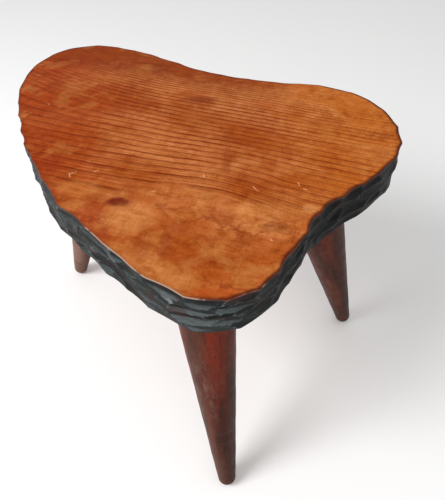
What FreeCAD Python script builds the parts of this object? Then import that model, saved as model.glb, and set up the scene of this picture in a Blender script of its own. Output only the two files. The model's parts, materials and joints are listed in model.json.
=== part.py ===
"""Three leg stool: a plank seat on three splayed, tapered legs that screw into it from below.

Millimetres, +Z up, the floor at Z = 0 and the origin under the middle of the whole stool.
-Y is the front, where one leg and one lobe of the seat point.

The head of each leg stands in a flat-bottomed socket, bored into the seat square to the leg.
Each leg has a frame of its own for everything on or beside its axis. The frame's origin is where
the axis meets the underside of the seat, +Z runs up the axis, and +X leans outwards, the way the
leg splays. Heights called "rise" are measured up that axis from the underside.
"""
import FreeCAD, Part

import math
import os

import Sketcher

DIMENSIONS = (
    ("seat_height", 320.0),
    ("seat_thickness", 40.0),
    ("seat_arris", 0.8),
    ("seat_lower_round", 4.0),
    ("leg_splay", 18.5),
    ("leg_tip_radius", 10.0),
    ("leg_head_radius", 33.2),
    ("leg_head_arris", 1.0),
    ("leg_head_rise", 11.4),
    ("leg_taper_end_rise", -12.0),
    ("leg_pilot_radius", 3.85),
    ("leg_pilot_depth", 42.0),
    ("front_leg_x", 5.6),
    ("front_leg_y", -133.0),
    ("front_leg_heading", -73.0),
    ("right_leg_x", 119.0),
    ("right_leg_y", -17.5),
    ("right_leg_heading", 21.2),
    ("left_leg_x", -125.0),
    ("left_leg_y", 63.0),
    ("left_leg_heading", 146.1),
    ("socket_radius", 33.7),
    ("socket_rise", 11.5),
    ("plate_radius", 19.0),
    ("plate_thickness", 2.0),
    ("plate_edge_round", 0.4),
    ("plate_recess_radius", 19.3),
    ("plate_recess_depth", 2.05),
    ("nut_barrel_radius", 5.5),
    ("nut_barrel_length", 8.0),
    ("nut_bore_radius", 4.05),
    ("nut_bore_lead", 0.6),
    ("bolt_radius", 4.0),
    ("bolt_thread_length", 15.0),
    ("bolt_thread_chamfer", 0.8),
    ("bolt_lag_radius", 3.8),
    ("bolt_lag_length", 40.0),
    ("bolt_point_length", 7.0),
    ("bolt_hole_radius", 5.7),
    ("bolt_hole_depth", 17.0),
    ("screw_circle_radius", 13.0),
    ("screw_radius", 1.75),
    ("screw_length", 16.0),
    ("screw_point_length", 3.0),
    ("screw_head_radius", 3.3),
    ("screw_head_depth", 1.55),
    ("screw_set_back", 0.05),
    ("screw_slot_width", 0.8),
    ("screw_slot_depth", 0.8),
    ("screw_hole_radius", 1.95),
    ("screw_sink_radius", 3.45),
    ("screw_pilot_radius", 1.8),
    ("screw_pilot_depth", 17.0),
)

# The seat's outline runs clockwise from the right-hand lobe, through the front lobe, the long left
# side, the wide back lobe and the shallow waist at the back. A closed smooth curve joins the points.
SEAT_OUTLINE = (
    (190, -49), (166, -74), (122, -111), (96, -148), (72, -188), (44, -216), (10, -221), (-33, -194),
    (-92, -138), (-130, -93), (-148, -61), (-193, 35), (-212, 125), (-195, 200), (-145, 229),
    (-90, 213), (-30, 174), (40, 135), (110, 119), (172, 100), (208, 50), (213, 10), (200, -31),
)
OUTLINE_SPANS = 4

LEGS = ("front", "right", "left")
SCREWS_PER_PLATE = 4
FIRST_SCREW_ANGLE = 45.0
BORE_START_RISE = -30.0

doc = FreeCAD.newDocument("three_leg_stool")
sheet = doc.addObject("Spreadsheet::Sheet", "dims")


def fill_sheet():
    """Write each driving dimension into the sheet, under its own alias."""
    for row, (alias, number) in enumerate(DIMENSIONS, start=1):
        sheet.set("A%d" % row, alias.replace("_", " "))
        sheet.set("B%d" % row, str(number))
        sheet.setAlias("B%d" % row, alias)
    doc.recompute()


def dim(alias):
    return float(sheet.get(alias))


def evaluate(owner, expression):
    """The number that an expression has now, as a starting value for the geometry it drives."""
    result = owner.evalExpression(expression)
    return float(getattr(result, "Value", result))


# --- Frames ---------------------------------------------------------------------------------------


def leg_frame(leg):
    """The frame on a leg's axis, turned to the leg's heading and tilted by the splay."""
    underside = dim("seat_height") - dim("seat_thickness")
    origin = FreeCAD.Vector(dim(leg + "_leg_x"), dim(leg + "_leg_y"), underside)
    heading = FreeCAD.Rotation(FreeCAD.Vector(0, 0, 1), dim(leg + "_leg_heading"))
    tilt = FreeCAD.Rotation(FreeCAD.Vector(0, 1, 0), -dim("leg_splay"))
    return FreeCAD.Placement(origin, heading * tilt)


def on_axis(rise):
    return FreeCAD.Placement(FreeCAD.Vector(0, 0, rise), FreeCAD.Rotation())


def screw_offset(number, rise):
    """Where a plate screw stands in its leg's frame, on a circle round the axis."""
    angle = FIRST_SCREW_ANGLE + 360.0 * number / SCREWS_PER_PLATE
    turn = FreeCAD.Rotation(FreeCAD.Vector(0, 0, 1), angle)
    reach = FreeCAD.Vector(dim("screw_circle_radius"), 0, rise)
    return FreeCAD.Placement(turn.multVec(reach), turn)


# --- Bodies and sketches --------------------------------------------------------------------------


def new_body(label):
    body = doc.addObject("PartDesign::Body", label)
    body.Label = label
    return body


def origin_feature(body, role):
    return next(item for item in body.Origin.OriginFeatures if item.Role == role)


def new_sketch(body, name, role):
    sketch = body.newObject("Sketcher::SketchObject", name)
    sketch.AttachmentSupport = [(origin_feature(body, role), "")]
    sketch.MapMode = "FlatFace"
    return sketch


def drive(sketch, kind, references, expression):
    """Add a dimension to the sketch and bind it to the sheet."""
    number = evaluate(sketch, expression)
    index = sketch.addConstraint(Sketcher.Constraint(kind, *references, number))
    sketch.setExpression("Constraints[%d]" % index, expression)


def drive_point(sketch, edge, end, point):
    """Place a point of an edge at (x, y), each an expression. 1 is its start, 2 its end, 3 its centre."""
    drive(sketch, "DistanceX", (-1, 1, edge, end), point[0])
    drive(sketch, "DistanceY", (-1, 1, edge, end), point[1])


def join(sketch, edges):
    for edge, following in zip(edges, edges[1:]):
        sketch.addConstraint(Sketcher.Constraint("Coincident", edge, 2, following, 1))


def add_outline(sketch, corners):
    """Join the corners with straight edges, closed, each corner bound to the sheet."""
    places = [FreeCAD.Vector(evaluate(sketch, x), evaluate(sketch, y), 0) for x, y in corners]
    edges = []
    for start, end in zip(places, places[1:] + places[:1]):
        edges.append(sketch.addGeometry(Part.LineSegment(start, end), False))
    join(sketch, edges + edges[:1])
    for edge, corner in zip(edges, corners):
        drive_point(sketch, edge, 1, corner)


def require_cut(body, before, name):
    if body.Shape.Volume > before - 1.0:
        raise RuntimeError("%s cut nothing from %s" % (name, body.Label))


def revolve(body, sketch):
    """Turn a half section drawn on the XZ plane once round the body's own Z axis."""
    turned = body.newObject("PartDesign::Revolution", body.Label + "_turning")
    turned.Profile = sketch
    turned.ReferenceAxis = (sketch, ["V_Axis"])
    turned.Angle = 360.0
    doc.recompute()
    return turned


def turned_body(label, corners, placement):
    """A body of revolution from the corners of its half section, set in place."""
    body = new_body(label)
    half = new_sketch(body, label + "_section", "XZ_Plane")
    add_outline(half, corners)
    revolve(body, half)
    body.Placement = placement
    return body


def bore(body, name, radius, length, placement):
    """Cut a round hole along the placement's +Z."""
    before = body.Shape.Volume
    hole = body.newObject("PartDesign::SubtractiveCylinder", name)
    hole.setExpression("Radius", radius)
    hole.setExpression("Height", length)
    hole.Placement = placement
    doc.recompute()
    require_cut(body, before, name)
    return hole


# --- The seat -------------------------------------------------------------------------------------


def outline_spans():
    """The closed curve through the outline's points, cut into spans that edge features accept."""
    curve = Part.BSplineCurve()
    curve.interpolate(Points=[FreeCAD.Vector(x, y, 0) for x, y in SEAT_OUTLINE], PeriodicFlag=True)
    length = curve.LastParameter - curve.FirstParameter
    marks = [curve.FirstParameter + length * step / OUTLINE_SPANS for step in range(OUTLINE_SPANS + 1)]
    spans = []
    for start, end in zip(marks, marks[1:]):
        span = curve.copy()
        span.segment(start, end)
        spans.append(span)
    return spans


def rim_edges(shape, height):
    """The names of the edges that run round the plank at this height."""
    names = []
    for index, edge in enumerate(shape.Edges, start=1):
        if all(abs(vertex.Z - height) < 0.01 for vertex in edge.Vertexes):
            names.append("Edge%d" % index)
    return names


def dress_edge(body, kind, size, expression, base, height):
    """Chamfer or fillet the plank's edge at this height."""
    feature = body.newObject("PartDesign::" + kind, "seat_" + kind.lower())
    feature.Base = (base, rim_edges(base.Shape, height))
    feature.setExpression(size, expression)
    doc.recompute()
    return feature


def bore_for_leg(body, leg):
    """Socket, plate recess, bolt hole and screw pilots, all bored up the leg's axis from below."""
    frame = body.Placement.inverse() * leg_frame(leg)
    floor = "dims.socket_rise"
    holes = (
        ("socket", "dims.socket_radius", floor),
        ("plate_recess", "dims.plate_recess_radius", floor + " + dims.plate_recess_depth"),
        ("bolt_hole", "dims.bolt_hole_radius", floor + " + dims.bolt_hole_depth"),
    )
    start = on_axis(BORE_START_RISE)
    for name, radius, top in holes:
        length = "%s - %g" % (top, BORE_START_RISE)
        bore(body, "seat_%s_%s" % (name, leg), radius, length, frame * start)
    for number in range(SCREWS_PER_PLATE):
        place = frame * screw_offset(number, dim("socket_rise"))
        name = "seat_pilot_%s_%d" % (leg, number + 1)
        bore(body, name, "dims.screw_pilot_radius", "dims.screw_pilot_depth", place)


def make_seat():
    """A plank sawn to the outline and bored from below for each leg."""
    body = new_body("seat")
    outline = new_sketch(body, "seat_outline", "XY_Plane")
    for span in outline_spans():
        outline.addGeometry(span, False)
    plank = body.newObject("PartDesign::Pad", "seat_plank")
    plank.Profile = outline
    plank.setExpression("Length", "dims.seat_thickness")
    doc.recompute()
    arris = dress_edge(body, "Chamfer", "Size", "dims.seat_arris", plank, dim("seat_thickness"))
    dress_edge(body, "Fillet", "Radius", "dims.seat_lower_round", arris, 0.0)
    body.Placement.Base.z = dim("seat_height") - dim("seat_thickness")
    for leg in LEGS:
        bore_for_leg(body, leg)
    return body


# --- The legs and what is on their axes -----------------------------------------------------------


def make_leg(leg):
    """A straight taper on a ball tip, with a short parallel head bored for the hanger bolt."""
    body = new_body("leg_" + leg)
    half = new_sketch(body, "leg_%s_section" % leg, "XZ_Plane")
    tip_drop = "dims.seat_height - dims.seat_thickness - dims.leg_tip_radius"
    tip_rise = "-(%s) / cos(dims.leg_splay)" % tip_drop
    pilot_end = "dims.leg_head_rise - dims.leg_pilot_depth"
    corners = (
        ("dims.leg_head_radius", "dims.leg_taper_end_rise"),
        ("dims.leg_head_radius", "dims.leg_head_rise - dims.leg_head_arris"),
        ("dims.leg_head_radius - dims.leg_head_arris", "dims.leg_head_rise"),
        ("dims.leg_pilot_radius", "dims.leg_head_rise"),
        ("dims.leg_pilot_radius", pilot_end),
        ("0", pilot_end + " - dims.leg_pilot_radius / 2"),
        ("0", tip_rise + " - dims.leg_tip_radius"),
    )
    places = [FreeCAD.Vector(evaluate(half, x), evaluate(half, y), 0) for x, y in corners]

    # The taper touches the ball a few degrees below its middle, by the angle that it flares.
    centre = FreeCAD.Vector(0, evaluate(half, tip_rise), 0)
    reach = places[0].y - centre.y
    slant = math.hypot(reach, dim("leg_head_radius"))
    flare = math.atan2(dim("leg_head_radius"), reach) - math.asin(dim("leg_tip_radius") / slant)
    ball = Part.Circle(centre, FreeCAD.Vector(0, 0, 1), dim("leg_tip_radius"))
    tip = half.addGeometry(Part.ArcOfCircle(ball, -math.pi / 2, -flare), False)
    edges = []
    for start, end in zip([ball.value(-flare)] + places, places):
        edges.append(half.addGeometry(Part.LineSegment(start, end), False))
    half.addConstraint(Sketcher.Constraint("Tangent", tip, 2, edges[0], 1))
    join(half, edges + [tip])
    drive_point(half, tip, 3, ("0", tip_rise))
    for edge, corner in zip(edges, corners):
        drive_point(half, edge, 2, corner)

    revolve(body, half)
    body.Placement = leg_frame(leg)
    return body


def make_hanger_bolt(leg):
    """A double-ended bolt: wood thread down into the leg, machine thread up through the nut."""
    face = "dims.leg_head_rise"
    top = face + " + dims.bolt_thread_length"
    lag_end = face + " - dims.bolt_lag_length"
    corners = (
        ("0", lag_end),
        ("dims.bolt_lag_radius", lag_end + " + dims.bolt_point_length"),
        ("dims.bolt_lag_radius", face),
        ("dims.bolt_radius", face),
        ("dims.bolt_radius", top + " - dims.bolt_thread_chamfer"),
        ("dims.bolt_radius - dims.bolt_thread_chamfer", top),
        ("0", top),
    )
    return turned_body("hanger_bolt_" + leg, corners, leg_frame(leg))


def make_nut_plate(leg):
    """A round plate with a threaded barrel, let into the socket's floor and held by four screws."""
    top = "dims.plate_thickness"
    barrel_top = top + " + dims.nut_barrel_length"
    edge = "dims.plate_radius - dims.plate_edge_round"
    corners = (
        ("dims.nut_bore_radius + dims.nut_bore_lead", "0"),
        (edge, "0"),
        ("dims.plate_radius", "dims.plate_edge_round"),
        ("dims.plate_radius", top),
        ("dims.nut_barrel_radius", top),
        ("dims.nut_barrel_radius", barrel_top),
        ("dims.nut_bore_radius", barrel_top),
        ("dims.nut_bore_radius", "dims.nut_bore_lead"),
    )
    body = turned_body("nut_plate_" + leg, corners, leg_frame(leg) * on_axis(dim("socket_rise")))

    before = body.Shape.Volume
    start = screw_offset(0, 0.0)
    hole = bore(body, body.Label + "_hole", "dims.screw_hole_radius", top, start)
    sink = body.newObject("PartDesign::SubtractiveCone", body.Label + "_sink")
    sink.setExpression("Radius1", "dims.screw_sink_radius")
    sink.setExpression("Radius2", "dims.screw_hole_radius")
    sink.setExpression("Height", "dims.screw_sink_radius - dims.screw_hole_radius")
    sink.Placement = start
    doc.recompute()
    one_hole = before - body.Shape.Volume
    ring = body.newObject("PartDesign::PolarPattern", body.Label + "_holes")
    ring.Originals = [hole, sink]
    ring.Axis = (origin_feature(body, "Z_Axis"), [""])
    ring.Angle = 360.0
    ring.Occurrences = SCREWS_PER_PLATE
    body.Tip = ring
    doc.recompute()
    require_cut(body, before - (SCREWS_PER_PLATE - 0.5) * one_hole, ring.Label)
    return body


def make_plate_screw(leg, number):
    """A slotted countersunk wood screw, its head just below the face of its plate."""
    shoulder = "dims.screw_head_depth"
    corners = (
        ("0", "0"),
        ("dims.screw_head_radius", "0"),
        ("dims.screw_radius", shoulder),
        ("dims.screw_radius", "dims.screw_length - dims.screw_point_length"),
        ("0", "dims.screw_length"),
    )
    rise = dim("socket_rise") + dim("screw_set_back")
    label = "plate_screw_%s_%d" % (leg, number + 1)
    body = turned_body(label, corners, leg_frame(leg) * screw_offset(number, rise))

    before = body.Shape.Volume
    slot = body.newObject("PartDesign::SubtractiveBox", label + "_slot")
    slot.setExpression("Length", "2 * dims.screw_head_radius")
    slot.setExpression("Width", "dims.screw_slot_width")
    slot.setExpression("Height", "dims.screw_slot_depth")
    corner = FreeCAD.Vector(-dim("screw_head_radius"), -dim("screw_slot_width") / 2, 0)
    slot.Placement = FreeCAD.Placement(corner, FreeCAD.Rotation())
    doc.recompute()
    require_cut(body, before, slot.Label)
    return body


# --- Assembly, checks and export ------------------------------------------------------------------


def make_all():
    bodies = [make_seat()]
    for leg in LEGS:
        bodies.append(make_leg(leg))
        bodies.append(make_hanger_bolt(leg))
        bodies.append(make_nut_plate(leg))
        for number in range(SCREWS_PER_PLATE):
            bodies.append(make_plate_screw(leg, number))
    return bodies


def check(bodies):
    """Stop if a feature failed or a sub-part isn't one sound solid."""
    for item in doc.Objects:
        if "Invalid" in item.State or "Error" in item.State:
            raise RuntimeError("%s failed: %s" % (item.Label, item.State))
    for body in bodies:
        shape = body.Shape
        if shape.isNull() or not shape.isValid() or len(shape.Solids) != 1:
            raise RuntimeError("%s isn't one valid solid" % body.Label)


def export(bodies):
    os.makedirs("parts", exist_ok=True)
    for body in bodies:
        body.Shape.exportStep(os.path.join("parts", body.Label + ".step"))


def main():
    fill_sheet()
    bodies = make_all()
    doc.recompute()
    check(bodies)
    export(bodies)
    whole = FreeCAD.BoundBox()
    for body in bodies:
        whole.add(body.Shape.BoundBox)
    print("%d sub-parts, %s" % (len(bodies), whole))


main()
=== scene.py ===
"""The looks of the three leg stool: a gouge-carved seat, mahogany legs and their hidden fittings."""
import json
import math

import bpy
import numpy as np
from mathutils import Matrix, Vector
from mathutils.geometry import delaunay_2d_cdt


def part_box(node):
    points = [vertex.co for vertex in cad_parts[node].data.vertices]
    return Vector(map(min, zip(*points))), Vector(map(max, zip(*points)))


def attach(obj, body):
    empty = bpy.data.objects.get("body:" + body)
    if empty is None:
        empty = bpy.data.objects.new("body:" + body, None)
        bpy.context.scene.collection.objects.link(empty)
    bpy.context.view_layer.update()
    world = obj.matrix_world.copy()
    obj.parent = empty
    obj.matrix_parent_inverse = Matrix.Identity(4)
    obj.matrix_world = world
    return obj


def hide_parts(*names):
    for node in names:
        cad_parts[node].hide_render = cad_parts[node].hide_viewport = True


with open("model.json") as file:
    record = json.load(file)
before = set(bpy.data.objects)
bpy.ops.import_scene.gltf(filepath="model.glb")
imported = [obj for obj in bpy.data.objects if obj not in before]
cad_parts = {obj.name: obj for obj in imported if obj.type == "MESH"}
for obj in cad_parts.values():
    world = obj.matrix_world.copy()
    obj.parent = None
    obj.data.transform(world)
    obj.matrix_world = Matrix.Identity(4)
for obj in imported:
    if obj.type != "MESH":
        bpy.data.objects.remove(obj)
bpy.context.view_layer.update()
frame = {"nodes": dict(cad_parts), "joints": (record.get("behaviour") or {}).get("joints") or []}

MM = 0.001
LEGS = ("front", "right", "left")

# A Mix node has one set of sockets for each data type. These are the colour ones.
MIX_COLOR_A = 6
MIX_COLOR_B = 7
MIX_COLOR_RESULT = 2


# --- Node graphs ----------------------------------------------------------------------------------


class Graph:
    """Builds a material's nodes with short calls. Every value may be a number, a tuple or a socket."""

    def __init__(self, name):
        self.material = bpy.data.materials.new(name)
        self.material.use_nodes = True
        self.nodes = self.material.node_tree.nodes
        self.links = self.material.node_tree.links
        self.shader = self.nodes["Principled BSDF"]

    def put(self, socket, value):
        """Link a socket to an input, or set the input to a number, vector or colour."""
        if isinstance(value, bpy.types.NodeSocket):
            self.links.new(value, socket)
        elif isinstance(value, tuple) and len(value) == 3 and socket.type == "RGBA":
            socket.default_value = (*value, 1.0)
        else:
            socket.default_value = value

    def set(self, **inputs):
        """Set inputs of the shader, underscores standing for spaces."""
        for name, value in inputs.items():
            self.put(self.shader.inputs[name.replace("_", " ")], value)

    def place(self):
        """The point on the surface, in the object's own metres."""
        return self.nodes.new("ShaderNodeTexCoord").outputs["Object"]

    def facing(self):
        """The way the surface faces, in the object's own axes."""
        return self.nodes.new("ShaderNodeTexCoord").outputs["Normal"]

    def attribute(self, name, output="Fac"):
        node = self.nodes.new("ShaderNodeAttribute")
        node.attribute_name = name
        return node.outputs[output]

    def split(self, vector):
        node = self.nodes.new("ShaderNodeSeparateXYZ")
        self.put(node.inputs[0], vector)
        return node.outputs[0], node.outputs[1], node.outputs[2]

    def join(self, x, y, z):
        node = self.nodes.new("ShaderNodeCombineXYZ")
        for socket, value in zip(node.inputs, (x, y, z)):
            self.put(socket, value)
        return node.outputs[0]

    def math(self, operation, *values):
        node = self.nodes.new("ShaderNodeMath")
        node.operation = operation
        for socket, value in zip(node.inputs, values):
            self.put(socket, value)
        return node.outputs[0]

    def add(self, a, b):
        return self.math("ADD", a, b)

    def times(self, a, b):
        return self.math("MULTIPLY", a, b)

    def vector(self, operation, *values):
        node = self.nodes.new("ShaderNodeVectorMath")
        node.operation = operation
        for socket, value in zip(node.inputs, values):
            self.put(socket, value)
        return node.outputs["Value"] if operation in ("LENGTH", "DOT_PRODUCT") else node.outputs[0]

    def stretch(self, vector, x, y, z):
        return self.vector("MULTIPLY", vector, (x, y, z))

    def noise(self, vector, scale, detail=3.0, rough=0.55, distortion=0.0):
        """Noise about 0.5, between 0 and 1."""
        node = self.nodes.new("ShaderNodeTexNoise")
        self.put(node.inputs["Vector"], vector)
        node.inputs["Scale"].default_value = scale
        node.inputs["Detail"].default_value = detail
        node.inputs["Roughness"].default_value = rough
        node.inputs["Distortion"].default_value = distortion
        return node.outputs["Fac"]

    def signed_noise(self, vector, scale, reach, detail=3.0, rough=0.55):
        """Noise about 0, between roughly minus and plus the reach."""
        centred = self.math("SUBTRACT", self.noise(vector, scale, detail, rough), 0.5)
        return self.times(centred, 2.0 * reach)

    def step(self, value, low, high, reverse=False):
        """A smooth ramp from 0 at low to 1 at high, or the other way up."""
        node = self.nodes.new("ShaderNodeMapRange")
        node.interpolation_type = "SMOOTHSTEP"
        self.put(node.inputs["Value"], value)
        node.inputs["From Min"].default_value = low
        node.inputs["From Max"].default_value = high
        node.inputs["To Min"].default_value = 1.0 if reverse else 0.0
        node.inputs["To Max"].default_value = 0.0 if reverse else 1.0
        return node.outputs["Result"]

    def span(self, value, low, high, to_low, to_high):
        """A straight map of one range onto another."""
        node = self.nodes.new("ShaderNodeMapRange")
        self.put(node.inputs["Value"], value)
        node.inputs["From Min"].default_value = low
        node.inputs["From Max"].default_value = high
        node.inputs["To Min"].default_value = to_low
        node.inputs["To Max"].default_value = to_high
        return node.outputs["Result"]

    def mix(self, factor, a, b):
        """Colour a where the factor is 0, b where it is 1."""
        node = self.nodes.new("ShaderNodeMix")
        node.data_type = "RGBA"
        self.put(node.inputs["Factor"], factor)
        self.put(node.inputs[MIX_COLOR_A], a)
        self.put(node.inputs[MIX_COLOR_B], b)
        return node.outputs[MIX_COLOR_RESULT]

    def shade(self, color, factor):
        """The colour made brighter or darker by a factor."""
        node = self.nodes.new("ShaderNodeVectorMath")
        node.operation = "SCALE"
        self.put(node.inputs[0], color)
        self.put(node.inputs["Scale"], factor)
        return node.outputs[0]

    def bump(self, height, distance, strength):
        """A normal bent by a height, whose full range stands for the distance in metres."""
        node = self.nodes.new("ShaderNodeBump")
        node.inputs["Distance"].default_value = distance
        node.inputs["Strength"].default_value = strength
        self.put(node.inputs["Height"], height)
        return node.outputs[0]


def srgb(red, green, blue):
    """A colour given as it looks on screen, 0 to 255, turned into the linear values nodes use."""
    def linear(channel):
        value = channel / 255.0
        return value / 12.92 if value <= 0.04045 else ((value + 0.055) / 1.055) ** 2.4
    return tuple(linear(channel) for channel in (red, green, blue))


# --- Materials ------------------------------------------------------------------------------------

SEAT_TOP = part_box("seat")[1].z
SEAT_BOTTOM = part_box("seat")[0].z

# The plank was sawn some way off the heart of the tree, which runs along the grain in front of the
# middle. The rings are wide there, arch over the heart, and close up towards the back.
GRAIN_TILT = math.radians(19.5)
HEART_OFFSET = -0.130
HEART_DEPTH = 0.060
YOUNG_RINGS = 125.0
OLD_RINGS = 95.0
OLD_RINGS_FROM = 0.080
OLD_RINGS_SOFTNESS = 0.014
ARCH_HEIGHT = 0.017
ARCH_MIDDLE = 0.055
ARCH_REACH = 0.062
LEFT_BEND = 0.75
LEFT_BEND_FROM = -0.040

# The arc on the right-hand lobe, past which the top is worn paler.
WORN_CORNER_MIDDLE = (0.100, 0.008, SEAT_TOP)
WORN_CORNER_RADIUS = 0.066

# Fine pale scratches in the top: start and end, in millimetres.
SCRATCHES = (
    (-118, -66, -112, -62), (-116, -70, -118, -65), (-95, -62, -91, -59), (-38, -93, -34, -91),
    (9, -66, 10, -71), (55, -85, 59, -91), (97, -79, 98, -84), (101, -88, 104, -90),
    (66, -156, 68, -158), (-171, 69, -168, 68),
)

# Marks and stains of the top: where, how wide and deep in millimetres, how strong, and the colour.
STAINS = (
    (-67, -107, 10, 5.5, 0.95, (104, 30, 14)),
    (-56, -130, 22, 17, 0.50, (204, 134, 74)),
    (-86, -122, 11, 22, 0.55, (142, 46, 18)),
    (-72, -152, 7, 12, 0.45, (138, 44, 18)),
    (-105, -88, 18, 12, 0.40, (200, 124, 62)),
    (-142, -50, 16, 14, 0.50, (138, 46, 16)),
    (-60, -88, 6, 12, 0.35, (150, 66, 28)),
    (2, 78, 17, 8, 0.70, (118, 44, 16)),
    (-52, 158, 12, 15, 0.55, (118, 40, 16)),
    (-95, 160, 16, 18, 0.35, (132, 50, 18)),
    (-85, 60, 10, 14, 0.30, (140, 56, 20)),
    (-150, 178, 40, 20, 0.25, (136, 50, 20)),
    (104, -117, 6, 5, 0.50, (214, 146, 90)),
    (31, -42, 5, 24, 0.45, (130, 54, 22)),
    (92, -28, 5, 17, 0.30, (142, 60, 24)),
    (78, 6, 8, 10, 0.30, (142, 60, 24)),
    (-62, 66, 5, 26, 0.28, (136, 58, 24)),
    (-72, 30, 4, 15, 0.25, (136, 58, 24)),
    (-10, -30, 4, 12, 0.25, (140, 60, 26)),
    (80, 66, 16, 9, 0.35, (160, 70, 26)),
    (138, 30, 22, 9, 0.30, (160, 74, 28)),
    (26, -126, 14, 9, 0.40, (146, 62, 26)),
    (46, -120, 9, 10, 0.40, (210, 134, 72)),
    (72, -142, 13, 5, 0.40, (122, 66, 30)),
    (-8, -142, 9, 8, 0.45, (138, 56, 22)),
    (-38, -168, 10, 12, 0.40, (140, 56, 22)),
    (-20, -160, 4, 18, 0.45, (128, 50, 20)),
    (14, -180, 24, 7, 0.30, (140, 58, 22)),
    (20, -214, 18, 5, 0.50, (168, 68, 20)),
)


def grain_frame(graph, place):
    """Distance along the grain and across it, towards the back, in metres."""
    x, y, z = graph.split(place)
    along = graph.add(graph.times(x, math.cos(GRAIN_TILT)), graph.times(y, -math.sin(GRAIN_TILT)))
    across = graph.add(graph.times(x, math.sin(GRAIN_TILT)), graph.times(y, math.cos(GRAIN_TILT)))
    return along, across, z


def ring_age(graph, along, across, z):
    """How many rings out from the heart a point is."""
    from_middle = graph.times(graph.math("SUBTRACT", along, ARCH_MIDDLE), 1.0 / ARCH_REACH)
    arch = graph.math("EXPONENT", graph.times(graph.times(from_middle, from_middle), -1.0))
    arch = graph.times(graph.times(arch, graph.step(across, -0.11, 0.05, reverse=True)), ARCH_HEIGHT)
    slow = graph.signed_noise(graph.join(graph.times(along, 0.7), across, z), 9.0, 0.0055, detail=1.5)
    quick = graph.signed_noise(graph.join(graph.times(along, 0.4), across, z), 60.0, 0.0011, detail=3.0)
    waves = graph.signed_noise(graph.join(graph.times(along, 0.8), across, z), 26.0, 0.0036, detail=2.0)
    slow = graph.add(slow, graph.times(waves, graph.step(across, -0.05, 0.02, reverse=True)))
    past_bend = graph.math("MINIMUM", graph.math("SUBTRACT", along, LEFT_BEND_FROM), 0.0)
    bend_share = graph.times(graph.step(across, -0.03, 0.05), LEFT_BEND)
    bend = graph.times(graph.times(past_bend, past_bend), bend_share)
    drift = graph.math("SUBTRACT", graph.add(slow, quick), graph.add(arch, bend))
    reach = graph.add(across, drift)
    out = graph.math("SUBTRACT", reach, HEART_OFFSET)
    down = graph.math("SUBTRACT", SEAT_TOP + HEART_DEPTH, z)
    radius = graph.math("SQRT", graph.add(graph.times(out, out), graph.times(down, down)))
    old = graph.times(graph.math("SUBTRACT", reach, OLD_RINGS_FROM), 1.0 / OLD_RINGS_SOFTNESS)
    old = graph.math("LOGARITHM", graph.add(graph.math("EXPONENT", old), 1.0), math.e)
    return graph.add(graph.times(radius, YOUNG_RINGS), graph.times(old, OLD_RINGS * OLD_RINGS_SOFTNESS))


def scratch_mark(graph, place, ends):
    """1 on a fine scratch between two points of the top, fading over half a millimetre."""
    x0, y0, x1, y1 = [value * MM for value in ends]
    run = Vector((x1 - x0, y1 - y0, 0.0))
    from_start = graph.vector("SUBTRACT", place, (x0, y0, SEAT_TOP))
    along = graph.vector("DOT_PRODUCT", from_start, tuple(run / run.length_squared))
    foot = graph.shade(tuple(run), graph.math("MAXIMUM", graph.math("MINIMUM", along, 1.0), 0.0))
    away = graph.vector("LENGTH", graph.vector("SUBTRACT", from_start, foot))
    return graph.step(away, 0.15 * MM, 0.65 * MM, reverse=True)


def stain_mark(graph, x, y, middle_x, middle_y, wide, deep, soft=0.55):
    """1 inside an ellipse of the top, falling softly to 0 outside. Sizes in millimetres."""
    dx = graph.times(graph.math("SUBTRACT", x, middle_x * MM), 1.0 / (wide * MM))
    dy = graph.times(graph.math("SUBTRACT", y, middle_y * MM), 1.0 / (deep * MM))
    reach = graph.math("SQRT", graph.add(graph.times(dx, dx), graph.times(dy, dy)))
    return graph.step(reach, 1.0 - soft, 1.0 + soft, reverse=True)


def worn_corner(graph, place, grow):
    """1 on the right-hand lobe outside a worn arc, softly 0 inside it. The arc grows by some millimetres."""
    x, y, _ = graph.split(place)
    away = graph.vector("LENGTH", graph.vector("SUBTRACT", place, WORN_CORNER_MIDDLE))
    away = graph.add(away, graph.signed_noise(place, 22.0, 0.010))
    edge = WORN_CORNER_RADIUS + grow * MM
    corner = graph.times(graph.step(x, 0.085, 0.125), graph.step(y, -0.005, 0.035))
    return graph.times(graph.step(away, edge - 0.004, edge + 0.004), corner)


def stain_shade(graph, color, tone):
    """Make stained wood darker or lighter by a tone: redder where it is darker, paler where it is lighter."""
    red = graph.math("POWER", tone, 0.55)
    blue = graph.math("POWER", tone, 1.8)
    return graph.vector("MULTIPLY", color, graph.join(red, tone, blue))


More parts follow.
